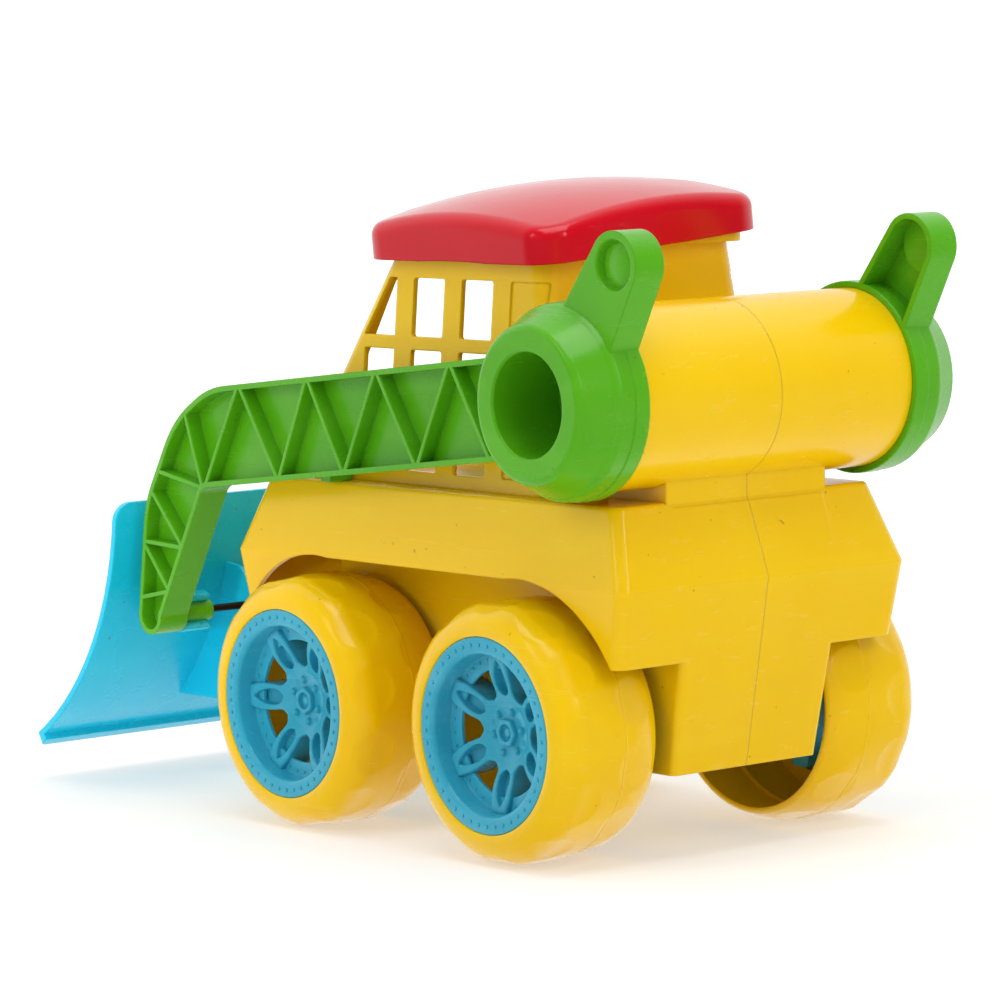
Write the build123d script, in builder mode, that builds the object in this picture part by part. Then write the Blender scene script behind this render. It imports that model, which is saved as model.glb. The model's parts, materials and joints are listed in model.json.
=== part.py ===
from build123d import *
import math
import os

# Toy front loader, millimetres. +X is forward, +Y is the loader's left, +Z is up.
# The origin is at the middle of the overall length and width, on the ground.

os.makedirs("parts", exist_ok=True)

# ---------------------------------------------------------------- driving dimensions
LENGTH = 382.0                 # bucket lip to the back of the hand lugs
EAR_R = 12.5                   # round end of a hand lug
EAR_BEHIND_AXLE = 68.4
REAR_AXLE_X = -LENGTH / 2 + EAR_R + EAR_BEHIND_AXLE
WHEELBASE = 125.0
FRONT_AXLE_X = REAR_AXLE_X + WHEELBASE

TYRE_R = 49.5
AXLE_Z = TYRE_R
TYRE_WALL = 2.0
WHEEL_OUT_Y = 89.6             # outer face of the rim flange
WHEEL_IN_Y = 43.2              # inner lip of the tyre
RIM_R = 37.0
RIM_SEAT = 2.0                 # depth of the seat in the tyre for the rim flange
RIM_BARREL_R = 33.8
AXLE_R = 2.0
AXLE_FIT = 0.06
HUB_TIP_Y = 78.5
AXLE_END_Y = 72.0              # the axle ends inside the blind hub
HUB_IN_Y = 39.0                # inner end of the rim's hub, 0.4 from the bearing tube
BEARING_HALF_Y = 38.6

WALL = 2.0                     # moulded wall of the body and cab
BLOCK_BOTTOM_Z = 33.0
SKIRT_Z = 76.5
CREASE_Z = 105.5
DECK_Z = 135.5
ARCH_R = 57.0
FRONT_SKIRT_Z = 86.0

DRUM_X = REAR_AXLE_X - 35.2
DRUM_Z = 174.5
DRUM_R = 34.4
DRUM_WALL = 2.5
DRUM_END_Y = 76.0
BULKHEAD_Y = 52.0
PEDESTAL_HALF_Y = 40.0
SADDLE_BACK_X = REAR_AXLE_X - 49.2
SADDLE_LENGTH = 33.0

ARM_IN_Y = 66.5
ARM_OUT_Y = 80.0
CAP_OUT_Y = 94.2
CAP_FIT = 0.08
CAP_R = 37.0
CAP_FACE_R = 28.4
BORE_R = 19.5
BORE_FLOOR_Y = 62.0
CUP_WALL = 2.2
HEAD_SEAT_R = 5.6              # seat that sinks the pivot screw's head below the bore's floor
HEAD_SEAT_Y = BORE_FLOOR_Y - 3.2
FLANGE_T = 2.2
RIB_T = 1.7
ARM_POCKET = 6.5
ARM_WEB = 2.2

PIVOT_X = REAR_AXLE_X + 226.8
PIVOT_Z = 74.9
ROD_R = 1.5
BOSS_R = 4.5
BOSS_TIP_Y = 51.0
CLIP_FIT = 0.08
CLIP_R = 8.2

BLADE_HALF_Y = 88.0
BLADE_R = 124.2
BLADE_T = 2.6
BLADE_CX = REAR_AXLE_X + 363.7
BLADE_CZ = 126.7
BLADE_TOP_Z = 121.0
LIP_X = LENGTH / 2
LUG_Y = 29.0
LUG_T = 2.4
LUG_BOTTOM_Z = 33.0

CAB_TOP_Z = 227.0
CAB_CORNER_R = 8.0
LEDGE_TOP_Z = 233.5
ROOF_TILT = -5.0               # the cap sits a little askew: its right side is the higher one
ROOF_HALF_Y = 55.8
ROOF_T = 2.2
ROOF_CROWN_R = 260.0
ROOF_CROWN_Z = 251.0
ROOF_EDGE_Z = 229.0


def at_x(offset):
    """X of a point given by its distance in front of the rear axle."""
    return REAR_AXLE_X + offset


def side_plane(y, side):
    """Plane at distance y from the middle, seen from outside, with local x along +X or -X."""
    return Plane(origin=(0, side * y, 0), x_dir=(1, 0, 0), z_dir=(0, -1, 0))


def radial_plane(x, z, side):
    """Plane through a crosswise axis: local x is the radius, local y points outward."""
    return Plane(origin=(x, 0, z), x_dir=(0, 0, 1), z_dir=(-side, 0, 0))


def cross_axis(x, z):
    return Axis(origin=(x, 0, z), direction=(0, 1, 0))


def save(piece, name):
    piece.part.label = name
    export_step(piece.part, f"parts/{name}.step")


# ---------------------------------------------------------------- wheels
def make_tyre(name, x, side):
    """Hollow moulded tyre, open towards the body, with a seat for the rim."""
    seat_y = WHEEL_OUT_Y - RIM_SEAT
    with BuildPart() as tyre:
        with BuildSketch(radial_plane(x, AXLE_Z, side)):
            with BuildLine():
                Polyline(
                    (RIM_BARREL_R, seat_y),
                    (RIM_R, seat_y),
                    (RIM_R, WHEEL_OUT_Y),
                )
                TangentArc((TYRE_R, WHEEL_OUT_Y - 10.5), (RIM_R, WHEEL_OUT_Y), tangent=(0, 1))
                Line((TYRE_R, WHEEL_OUT_Y - 10.5), (TYRE_R, WHEEL_IN_Y + 16))
                TangentArc((TYRE_R, WHEEL_IN_Y + 16), (TYRE_R - 4.6, WHEEL_IN_Y), tangent=(0, -1))
                Polyline(
                    (TYRE_R - 4.6, WHEEL_IN_Y),
                    (TYRE_R - 4.6 - TYRE_WALL, WHEEL_IN_Y),
                    (TYRE_R - TYRE_WALL, WHEEL_IN_Y + 16),
                    (TYRE_R - TYRE_WALL, WHEEL_OUT_Y - 11),
                    (TYRE_R - 6.5, WHEEL_OUT_Y - 4.6),
                    (RIM_BARREL_R, seat_y - TYRE_WALL),
                    (RIM_BARREL_R, seat_y),
                )
            make_face()
        revolve(axis=cross_axis(x, AXLE_Z))
    save(tyre, name)


SPOKES = 6
SPOKE_IN_R = 9.0
SPOKE_OUT_R = 29.5
SPOKE_Y = 80.6
SPOKE_T = 7.0
RING_Y = 78.6
RING_T = 1.7
SPOKE_WIDTH = 9.0


def make_rim(name, x, side, turn):
    """Rim insert: flange, deep barrel, inner ring, six slotted spokes and a long hub."""
    seat_y = WHEEL_OUT_Y - RIM_SEAT
    lip_r = RIM_R - 6.5
    spoke_plane = Plane(origin=(x, side * SPOKE_Y, AXLE_Z), x_dir=(0, 0, 1), z_dir=(0, -side, 0))
    with BuildPart() as rim:
        with BuildSketch(radial_plane(x, AXLE_Z, side)):
            with BuildLine():
                Polyline(
                    (lip_r, WHEEL_OUT_Y),
                    (RIM_R, WHEEL_OUT_Y),
                    (RIM_R, seat_y),
                    (RIM_BARREL_R, seat_y),
                    (RIM_BARREL_R, seat_y - TYRE_WALL),
                    (lip_r + 1.4, seat_y - TYRE_WALL - 2),
                    (lip_r + 1.2, RING_Y),
                    (24.2, RING_Y),
                    (24.2, RING_Y + RING_T),
                    (lip_r - 0.6, RING_Y + RING_T),
                    (lip_r, WHEEL_OUT_Y),
                )
            make_face()
        revolve(axis=cross_axis(x, AXLE_Z))
        with BuildSketch(spoke_plane):
            Circle(SPOKE_IN_R + 4)
            with PolarLocations((SPOKE_IN_R + SPOKE_OUT_R) / 2, SPOKES, start_angle=turn):
                SlotOverall(SPOKE_OUT_R - SPOKE_IN_R + 6, SPOKE_WIDTH)
            with PolarLocations(22.0, SPOKES, start_angle=turn):
                SlotOverall(9.0, 3.4, mode=Mode.SUBTRACT)
        extrude(amount=SPOKE_T)
        with BuildSketch(Plane(origin=(x, side * HUB_TIP_Y, AXLE_Z), x_dir=(0, 0, 1),
                               z_dir=(0, -side, 0))):
            Circle(5.2)
        extrude(amount=HUB_TIP_Y - HUB_IN_Y)
        with BuildSketch(Plane(origin=(x, side * AXLE_END_Y, AXLE_Z), x_dir=(0, 0, 1),
                               z_dir=(0, -side, 0))):
            Circle(AXLE_R)
        extrude(amount=AXLE_END_Y - HUB_IN_Y + 1, mode=Mode.SUBTRACT)
    save(rim, name)


def make_axle(name, x):
    with BuildPart() as axle:
        with BuildSketch(Plane(origin=(x, -AXLE_END_Y, AXLE_Z), x_dir=(1, 0, 0), z_dir=(0, 1, 0))):
            Circle(AXLE_R)
        extrude(amount=2 * AXLE_END_Y)
        chamfer(axle.edges().filter_by(GeomType.CIRCLE), 0.4)
    save(axle, name)


for end, axle_x, rim_turn in (("front", FRONT_AXLE_X, 0), ("rear", REAR_AXLE_X, 30)):
    make_axle(f"axle_{end}", axle_x)
    for hand, side in (("left", 1), ("right", -1)):
        make_tyre(f"tyre_{end}_{hand}", axle_x, side)
        make_rim(f"rim_{end}_{hand}", axle_x, side, rim_turn)


# ---------------------------------------------------------------- body
def box_loft(sections, corner_r):
    """Solid through rounded rectangles, each given as (z, x_back, x_front, half_width)."""
    with BuildPart() as solid:
        for low, high in zip(sections, sections[1:]):
            for z, x_back, x_front, half_y in (low, high):
                with BuildSketch(Plane.XY.offset(z)):
                    with Locations(((x_back + x_front) / 2, 0)):
                        RectangleRounded(x_front - x_back, 2 * half_y, corner_r)
            loft()
    return solid.part


def body_sections(inset, bottom_z):
    """Outer or inner form of the upper body; the end panels lean in above and below the crease."""
    return (
        (bottom_z, at_x(-54.6 + inset), at_x(172 - inset), 69.5 - inset),
        (CREASE_Z, at_x(-60.4 + inset), at_x(177.5 - inset), 71.7 - inset),
        (DECK_Z - inset, at_x(-49 + inset), at_x(164.6 - inset), 64 - inset),
    )


def block_sections(inset):
    """Outer or inner form of the middle block between the wheels."""
    return (
        (BLOCK_BOTTOM_Z + inset, at_x(-46 + inset), at_x(150 - inset), 36.2 - inset),
        (CREASE_Z, at_x(-60.4 + inset), at_x(152 - inset), 39.8 - inset),
        (DECK_Z - WALL + inset / 10, at_x(-50 + inset), at_x(152 - inset), 39.8 - inset),
    )


with BuildPart() as body_form:
    add(box_loft(body_sections(0, SKIRT_Z), 5))
    fillet(body_form.faces().sort_by(Axis.Z)[-1].edges(), 2.0)
body_inner = box_loft(body_sections(WALL, SKIRT_Z), 4)
block_outer = box_loft(block_sections(0), 3)
block_inner = box_loft(block_sections(WALL), 2)

SCREW_PLACES = ((at_x(-22), 66), (at_x(30), 44), (at_x(95), 44), (at_x(138), 66))
SCREW_HEAD_Y = -14.0
SCREW_TIP_Y = 12.0
SCREW_R = 1.5

with BuildPart() as body:
    add(body_form.part)
    add(body_inner, mode=Mode.SUBTRACT)
    # wheel arches and the straight edge between them
    with BuildSketch(Plane.XZ):
        for axle_x in (REAR_AXLE_X, FRONT_AXLE_X):
            with Locations((axle_x, AXLE_Z)):
                Circle(ARCH_R)
        with Locations(((REAR_AXLE_X + FRONT_AXLE_X) / 2, AXLE_Z + ARCH_R - 15.5)):
            Rectangle(WHEELBASE, 30)
        with Locations((FRONT_AXLE_X + 60, FRONT_SKIRT_Z - 10)):
            Rectangle(60, 20)
    extrude(amount=100, both=True, mode=Mode.SUBTRACT)
    add(block_outer)
    add(block_inner, mode=Mode.SUBTRACT)
    # saddle that carries the drum
    with BuildSketch(Plane.XY.offset(DECK_Z - 1)):
        with Locations((SADDLE_BACK_X + SADDLE_LENGTH / 2, 0)):
            Rectangle(SADDLE_LENGTH, 2 * PEDESTAL_HALF_Y)
            Rectangle(SADDLE_LENGTH - 2 * WALL, 2 * (PEDESTAL_HALF_Y - WALL), mode=Mode.SUBTRACT)
    extrude(amount=22)
    # drum
    with BuildSketch(Plane.XZ.offset(-DRUM_END_Y)):
        with Locations((DRUM_X, DRUM_Z)):
            Circle(DRUM_R)
    extrude(amount=2 * DRUM_END_Y)
    with BuildSketch(Plane.XZ.offset(-DRUM_END_Y - 1)):
        with Locations((DRUM_X, DRUM_Z)):
            Circle(DRUM_R - DRUM_WALL)
    extrude(amount=2 * DRUM_END_Y + 2, mode=Mode.SUBTRACT)
    # bulkheads in the drum, with bosses for the pivot screws
    for side in (1, -1):
        with BuildSketch(side_plane(BULKHEAD_Y, side)):
            with Locations((DRUM_X, DRUM_Z)):
                Circle(DRUM_R - DRUM_WALL + 0.5)
        extrude(amount=side * WALL)
        with BuildSketch(side_plane(HEAD_SEAT_Y - CUP_WALL - 0.4, side)):
            with Locations((DRUM_X, DRUM_Z)):
                Circle(6)
        extrude(amount=side * 12)
        with BuildSketch(side_plane(BORE_FLOOR_Y, side)):
            with Locations((DRUM_X, DRUM_Z)):
                Circle(AXLE_R)
        extrude(amount=side * 18, mode=Mode.SUBTRACT)
    # posts for the screws that join the two halves
    with BuildSketch(Plane.XZ.offset(-37)):
        with Locations(*SCREW_PLACES):
            Circle(4.6)
    extrude(amount=2 * 37)
    with BuildSketch(Plane.XZ.offset(-SCREW_TIP_Y)):
        with Locations(*SCREW_PLACES):
            Circle(SCREW_R)
    extrude(amount=SCREW_TIP_Y - SCREW_HEAD_Y, mode=Mode.SUBTRACT)
    with BuildSketch(Plane.XZ.offset(-SCREW_HEAD_Y)):
        with Locations(*SCREW_PLACES):
            Circle(3.2)
    extrude(amount=30, mode=Mode.SUBTRACT)
    # axle bearings: tubes through the block, bored for a running fit
    for axle_x in (REAR_AXLE_X, FRONT_AXLE_X):
        with BuildSketch(Plane.XZ.offset(-BEARING_HALF_Y)):
            with Locations((axle_x, AXLE_Z)):
                Circle(5.5)
        extrude(amount=2 * BEARING_HALF_Y)
        with BuildSketch(Plane.XZ.offset(-60)):
            with Locations((axle_x, AXLE_Z)):
                Circle(AXLE_R + AXLE_FIT)
        extrude(amount=120, mode=Mode.SUBTRACT)

with BuildPart() as body_left:
    add(body.part)
    split(bisect_by=Plane.XZ, keep=Keep.BOTTOM)
save(body_left, "body_left")

with BuildPart() as body_right:
    add(body.part)
    split(bisect_by=Plane.XZ, keep=Keep.TOP)
save(body_right, "body_right")

with BuildPart() as body_screws:
    with BuildSketch(Plane.XZ.offset(-SCREW_HEAD_Y)):
        with Locations(*SCREW_PLACES):
            Circle(2.9)
    extrude(amount=2.0)
    with BuildSketch(Plane.XZ.offset(-SCREW_TIP_Y)):
        with Locations(*SCREW_PLACES):
            Circle(SCREW_R)
    extrude(amount=SCREW_TIP_Y - SCREW_HEAD_Y)
save(body_screws, "body_screws")


# ---------------------------------------------------------------- cab
CAB_BASE_BACK = at_x(-1)
CAB_BASE_FRONT = at_x(160)
CAB_TOP_BACK = at_x(8)
CAB_TOP_FRONT = at_x(101)
CAB_BASE_HALF = 56.5
CAB_TOP_HALF = 47.8


def windscreen_x(z):
    """X of the sloping front edge of the cab at height z."""
    part_way = (z - DECK_Z) / (CAB_TOP_Z - DECK_Z)
    return CAB_BASE_FRONT + (CAB_TOP_FRONT - CAB_BASE_FRONT) * part_way


def cab_sections(inset, base_z, top_z):
    rows = []
    for z in (base_z, top_z):
        part_way = (z - DECK_Z) / (CAB_TOP_Z - DECK_Z)
        back = CAB_BASE_BACK + (CAB_TOP_BACK - CAB_BASE_BACK) * part_way
        half_y = CAB_BASE_HALF + (CAB_TOP_HALF - CAB_BASE_HALF) * part_way
        rows.append((z, back + inset, windscreen_x(z) - inset * 1.2, half_y - inset))
    return tuple(rows)


POST_PITCH = 29.5
WINDOW_W = 19.0
UPPER_ROW = (192.7, 215.3)
LOWER_ROW = (141.0, 187.5)
FIRST_WINDOW_X = 47.0
PILLAR = 7.5
COLUMNS = 2
PANEL_DEPTH = 0.8
WINDSCREEN_HALF_Y = 41.0

cab_outer = box_loft(cab_sections(0, DECK_Z, CAB_TOP_Z), CAB_CORNER_R)
cab_inner = box_loft(cab_sections(WALL, DECK_Z - 0.5, LEDGE_TOP_Z - WALL), CAB_CORNER_R - WALL)

# blind panels in the first column: shallow recesses in the cab's sides
with BuildPart() as blind_panels:
    with BuildSketch(Plane.XZ):
        for low, high in (UPPER_ROW, LOWER_ROW):
            with Locations((at_x(FIRST_WINDOW_X - POST_PITCH), (low + high) / 2)):
                RectangleRounded(WINDOW_W, high - low, 1.2)
    extrude(amount=80, both=True)
    add(box_loft(cab_sections(PANEL_DEPTH, DECK_Z, CAB_TOP_Z), CAB_CORNER_R - PANEL_DEPTH), mode=Mode.SUBTRACT)

with BuildPart() as cab_frame:
    add(cab_outer)
    add(blind_panels.part, mode=Mode.SUBTRACT)
    with BuildSketch(Plane.XY.offset(CAB_TOP_Z)):
        with Locations((at_x(53), 0)):
            RectangleRounded(102, 2 * 49.8, CAB_CORNER_R)
    extrude(amount=LEDGE_TOP_Z - CAB_TOP_Z)
    add(cab_inner, mode=Mode.SUBTRACT)
    # side windows: two rows of upright openings, then one cut by the windscreen's slope
    with BuildSketch(Plane.XZ):
        for low, high in (UPPER_ROW, LOWER_ROW):
            for column in range(COLUMNS):
                with Locations((at_x(FIRST_WINDOW_X + column * POST_PITCH), (low + high) / 2)):
                    RectangleRounded(WINDOW_W, high - low, 1.2)
        back = at_x(FIRST_WINDOW_X + COLUMNS * POST_PITCH - WINDOW_W / 2)
        with BuildLine():
            Polyline(
                (back, UPPER_ROW[0]),
                (windscreen_x(UPPER_ROW[0]) - PILLAR, UPPER_ROW[0]),
                (windscreen_x(UPPER_ROW[1]) - PILLAR, UPPER_ROW[1]),
                (back, UPPER_ROW[1]),
                close=True,
            )
        make_face()
        lower_post = at_x(115)
        with BuildLine():
            Polyline(
                (back, LOWER_ROW[0]),
                (lower_post, LOWER_ROW[0]),
                (lower_post, LOWER_ROW[1]),
                (back, LOWER_ROW[1]),
                close=True,
            )
        make_face()
        with BuildLine():
            Polyline(
                (lower_post + PILLAR, LOWER_ROW[0]),
                (windscreen_x(LOWER_ROW[0]) - PILLAR, LOWER_ROW[0]),
                (lower_post + PILLAR, 166.0),
                close=True,
            )
        make_face()
    extrude(amount=80, both=True, mode=Mode.SUBTRACT)
    # windscreen: one tall opening, cut forward through the sloping front
    with BuildSketch(Plane.YZ.offset(at_x(94))):
        with Locations((0, (LOWER_ROW[0] + UPPER_ROW[1]) / 2)):
            RectangleRounded(2 * WINDSCREEN_HALF_Y, UPPER_ROW[1] - LOWER_ROW[0], 3)
    extrude(amount=80, mode=Mode.SUBTRACT)
save(cab_frame, "cab_frame")


# ---------------------------------------------------------------- roof
ROOF_MID_X = at_x(55.15)
ROOF_LENGTH = 115.1
ROOF_CORNER_R = 14.0
ROOF_EDGE_RISE_R = 440.0
ROOF_ROUND = 6.0


def roof_form(inset):
    """Rounded block under a crowned top; with an inset it is the hollow inside the cap."""
    with BuildPart() as form:
        with BuildSketch(Plane.XY.offset(ROOF_EDGE_Z - 2)):
            with Locations((ROOF_MID_X, 0)):
                RectangleRounded(ROOF_LENGTH - 2 * inset, 2 * (ROOF_HALF_Y - inset), ROOF_CORNER_R - inset)
        extrude(amount=40)
        with Locations((ROOF_MID_X, 0, ROOF_CROWN_Z - inset - ROOF_CROWN_R)):
            Sphere(ROOF_CROWN_R, mode=Mode.INTERSECT)
        if not inset:
            fillet(form.faces().sort_by(Axis.Z)[-1].edges(), ROOF_ROUND)
    return form.part


roof_outer = roof_form(0)
roof_hollow = roof_form(ROOF_T)
tilt_axis = Axis(origin=(ROOF_MID_X, 0, LEDGE_TOP_Z), direction=(1, 0, 0))

with BuildPart() as roof_level:
    add(roof_outer)
    add(roof_hollow, mode=Mode.SUBTRACT)
    with Locations((ROOF_MID_X, 0, ROOF_EDGE_Z + 2 - ROOF_EDGE_RISE_R)):
        Sphere(ROOF_EDGE_RISE_R, mode=Mode.SUBTRACT)

LEG_SPACING = 68.0
LEG_HEIGHTS = ((1, 9.0), (-1, 15.0))
with BuildPart() as cab_roof:
    add(roof_level.part.rotate(tilt_axis, ROOF_TILT))
    # four legs under the cap stand on the ceiling of the cab; the right pair is the taller one
    for side, height in LEG_HEIGHTS:
        with BuildSketch(Plane.XY.offset(LEDGE_TOP_Z)):
            with Locations((ROOF_MID_X - LEG_SPACING / 2, side * LEG_SPACING / 2),
                           (ROOF_MID_X + LEG_SPACING / 2 - 8, side * LEG_SPACING / 2)):
                Circle(2.0)
        extrude(amount=height)
save(cab_roof, "cab_roof")


# ---------------------------------------------------------------- loader arms
EAR_X = REAR_AXLE_X - EAR_BEHIND_AXLE
EAR_Z = 225.4
EAR_BASE_HALF = 16.0
RECESS_R = 9.2
DOME_RADIUS = 28.0
FOOT_R = 7.8
ARM_DEPTH = ARM_OUT_Y - ARM_IN_Y
KNEE_INNER = (187.6, 129.8)
KNEE_ROUND = 50.0
STOP_X = at_x(119)
STOP_TIP_Y = 58.5


def arm_top_z(offset):
    """Height of the top flange at a distance in front of the rear axle."""
    return 189.9 - 0.107 * offset


def arm_bottom_z(offset):
    return 151.1 - 0.1137 * offset


# side outline of the beam: long part, knee and leg, ending in a round foot
with BuildSketch() as beam:
    with BuildLine():
        Polyline(
            (at_x(-20), arm_top_z(-20)),
            (at_x(182.1), arm_top_z(182.1)),
            (at_x(206.5), 156.0),
            (at_x(228.0), 121.1),
            (PIVOT_X + FOOT_R, PIVOT_Z),
            (PIVOT_X - FOOT_R, PIVOT_Z),
            (at_x(KNEE_INNER[0]), KNEE_INNER[1]),
            (at_x(-20), arm_bottom_z(-20)),
            close=True,
        )
    make_face()
    front = beam.vertices().filter_by(lambda corner: corner.X > at_x(170) and corner.Y > 110)
    outer_knee = front.filter_by(lambda corner: corner.Y > 150 or corner.X > at_x(215))
    fillet(outer_knee, KNEE_ROUND)
    inner_knee = beam.vertices().filter_by(lambda corner: abs(corner.X - at_x(KNEE_INNER[0])) < 0.1)
    fillet(inner_knee, 6)
    with Locations((PIVOT_X, PIVOT_Z)):
        Circle(FOOT_R)

with BuildSketch() as beam_pocket:
    offset(beam.sketch, amount=-FLANGE_T, kind=Kind.INTERSECTION)


def lug_sketch(inset):
    """Side outline of the hand lug, from the drum axis back and up to its round end."""
    lean = math.atan2(EAR_Z - DRUM_Z, EAR_X - DRUM_X)
    along = Vector(math.cos(lean), math.sin(lean))
    across = Vector(-math.sin(lean), math.cos(lean))
    tip = Vector(EAR_X, EAR_Z)
    base = Vector(DRUM_X, DRUM_Z) + along * 22
    with BuildSketch() as lug:
        with BuildLine():
            Polyline(
                base + across * (EAR_BASE_HALF - inset),
                tip + across * (EAR_R - inset),
                tip - across * (EAR_R - inset),
                base - across * (EAR_BASE_HALF - inset),
                close=True,
            )
        make_face()
        with Locations((EAR_X, EAR_Z)):
            Circle(EAR_R - inset)
    return lug.sketch


lug_outline = lug_sketch(0)
lug_hollow = lug_sketch(FLANGE_T)


# zigzag ribs of the long part: where they meet the top and the bottom flange
ZIGZAG_TOP = (27.0, 72.3, 116.2, 161.4)
ZIGZAG_BOTTOM = (3.8, 48.4, 93.9, 136.4, 186.1)


def rib_ends():
    """End points of every rib, as (distance in front of the rear axle, height)."""
    ribs = []
    for number, top in enumerate(ZIGZAG_TOP):
        for bottom in ZIGZAG_BOTTOM[number:number + 2]:
            ribs.append(((top, arm_top_z(top)), (bottom, arm_bottom_z(bottom))))
    ribs.append(((199.0, 161.0), KNEE_INNER))
    ribs.append(((219.5, 135.0), KNEE_INNER))
    ribs.append(((224.0, 127.0), (202.5, 104.5)))
    ribs.append(((230.0, 105.5), (202.5, 104.5)))
    ribs.append(((229.5, 104.5), (213.0, 86.0)))
    ribs.append(((233.5, 82.0), (213.0, 86.0)))
    return ribs


# the outer pocket is the beam's inside without the ribs, each a thin bar between its two ends
with BuildSketch() as ribbed_pocket:
    add(beam_pocket.sketch)
    for (x_a, z_a), (x_b, z_b) in rib_ends():
        turn = math.degrees(math.atan2(z_b - z_a, x_b - x_a))
        with Locations(Location((at_x((x_a + x_b) / 2), (z_a + z_b) / 2, 0), (0, 0, turn))):
            Rectangle(math.dist((x_a, z_a), (x_b, z_b)), RIB_T, mode=Mode.SUBTRACT)


def make_arm(name, side):
    """Beam, drum cap with its blind bore, and hand lug, moulded as one piece."""
    outer_face = side_plane(ARM_OUT_Y, side)
    inner_face = side_plane(ARM_IN_Y, side)
    with BuildPart() as arm:
        with BuildSketch(outer_face):
            add(beam.sketch)
        extrude(amount=side * ARM_DEPTH)
        with BuildSketch(outer_face):
            add(ribbed_pocket.sketch)
        extrude(amount=side * ARM_POCKET, mode=Mode.SUBTRACT)
        with BuildSketch(inner_face):
            add(beam_pocket.sketch)
        extrude(amount=-side * (ARM_DEPTH - ARM_POCKET - ARM_WEB), mode=Mode.SUBTRACT)
        # hand lug: hollow from the inside, with a round recess outside
        with BuildSketch(outer_face):
            add(lug_outline)
        extrude(amount=side * ARM_DEPTH)
        with BuildSketch(inner_face):
            add(lug_hollow)
        extrude(amount=-side * (ARM_DEPTH - FLANGE_T), mode=Mode.SUBTRACT)
        with BuildSketch(outer_face):
            with Locations((EAR_X, EAR_Z)):
                Circle(RECESS_R + 1.4)
        extrude(amount=side * 5.4)
        with BuildSketch(radial_plane(EAR_X, EAR_Z, side)):
            with BuildLine():
                dome_r = RECESS_R - 0.5
                dome_edge_y = ARM_OUT_Y - 2.0 - DOME_RADIUS + math.sqrt(DOME_RADIUS ** 2 - dome_r ** 2)
                Polyline(
                    (0, ARM_OUT_Y + 1),
                    (RECESS_R + 0.5, ARM_OUT_Y + 1),
                    (RECESS_R + 0.5, ARM_OUT_Y),
                    (RECESS_R, ARM_OUT_Y - 0.6),
                    (dome_r, dome_edge_y),
                )
                CenterArc((0, ARM_OUT_Y - 2.0 - DOME_RADIUS), DOME_RADIUS,
                          90 - math.degrees(math.asin(dome_r / DOME_RADIUS)),
                          math.degrees(math.asin(dome_r / DOME_RADIUS)))
                Line((0, ARM_OUT_Y - 2.0), (0, ARM_OUT_Y + 1))
            make_face()
        revolve(axis=cross_axis(EAR_X, EAR_Z), mode=Mode.SUBTRACT)
        # cap over the drum's end, and the blind bore in its face
        with BuildSketch(side_plane(ARM_OUT_Y + 20, side)):
            with Locations((DRUM_X, DRUM_Z)):
                Circle(CAP_R - 0.8)
        extrude(amount=side * 60, mode=Mode.SUBTRACT)
        with BuildSketch(radial_plane(DRUM_X, DRUM_Z, side)):
            with BuildLine():
                Polyline(
                    (DRUM_R + CAP_FIT, 77.5),
                    (DRUM_R + CAP_FIT, ARM_IN_Y),
                    (CAP_R - 0.3, ARM_IN_Y),
                    (CAP_R, ARM_IN_Y + 0.6),
                    (CAP_R, ARM_IN_Y + 6.6),
                    (CAP_R - 0.4, ARM_IN_Y + 6.9),
                    (CAP_R - 0.5, ARM_IN_Y + 12.4),
                )
                ThreePointArc((CAP_R - 0.5, ARM_IN_Y + 12.4), (CAP_R - 1.1, ARM_IN_Y + 14.0),
                              (CAP_R - 2.2, ARM_IN_Y + 15.4))
                Line((CAP_R - 2.2, ARM_IN_Y + 15.4), (CAP_FACE_R + 1.6, CAP_OUT_Y - 2.4))
                ThreePointArc((CAP_FACE_R + 1.6, CAP_OUT_Y - 2.4), (CAP_FACE_R + 0.6, CAP_OUT_Y - 0.7),
                              (CAP_FACE_R - 1.2, CAP_OUT_Y))
                Polyline(
                    (CAP_FACE_R - 1.2, CAP_OUT_Y),
                    (BORE_R + 0.7, CAP_OUT_Y),
                    (BORE_R, CAP_OUT_Y - 0.7),
                    (BORE_R, BORE_FLOOR_Y),
                    (HEAD_SEAT_R, BORE_FLOOR_Y),
                    (HEAD_SEAT_R, HEAD_SEAT_Y),
                    (AXLE_R + 0.08, HEAD_SEAT_Y),
                    (AXLE_R + 0.08, HEAD_SEAT_Y - CUP_WALL),
                    (HEAD_SEAT_R + CUP_WALL, HEAD_SEAT_Y - CUP_WALL),
                    (HEAD_SEAT_R + CUP_WALL, BORE_FLOOR_Y - CUP_WALL),
                    (BORE_R + CUP_WALL, BORE_FLOOR_Y - CUP_WALL),
                    (BORE_R + CUP_WALL, CAP_OUT_Y - 3.4),
                    (CAP_FACE_R - 1.2, CAP_OUT_Y - 3.4),
                    (DRUM_R + CAP_FIT, 77.5),
                )
            make_face()
        revolve(axis=cross_axis(DRUM_X, DRUM_Z))
        # boss for the bucket's clip, and the bore for its rod
        with BuildSketch(side_plane(BOSS_TIP_Y, side)):
            with Locations((PIVOT_X, PIVOT_Z)):
                Circle(BOSS_R)
        extrude(amount=-side * (ARM_OUT_Y - ARM_POCKET - BOSS_TIP_Y))
        with BuildSketch(side_plane(BOSS_TIP_Y - 1, side)):
            with Locations((PIVOT_X, PIVOT_Z)):
                Circle(ROD_R)
        extrude(amount=-side * 22, mode=Mode.SUBTRACT)
        # stop that rests on the deck
        with BuildSketch(side_plane(STOP_TIP_Y, side)):
            with Locations((STOP_X, DECK_Z + 0.1 + 1.8)):
                Rectangle(6, 3.6)
        extrude(amount=-side * (ARM_IN_Y + 3 - STOP_TIP_Y))
    save(arm, name)


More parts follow.
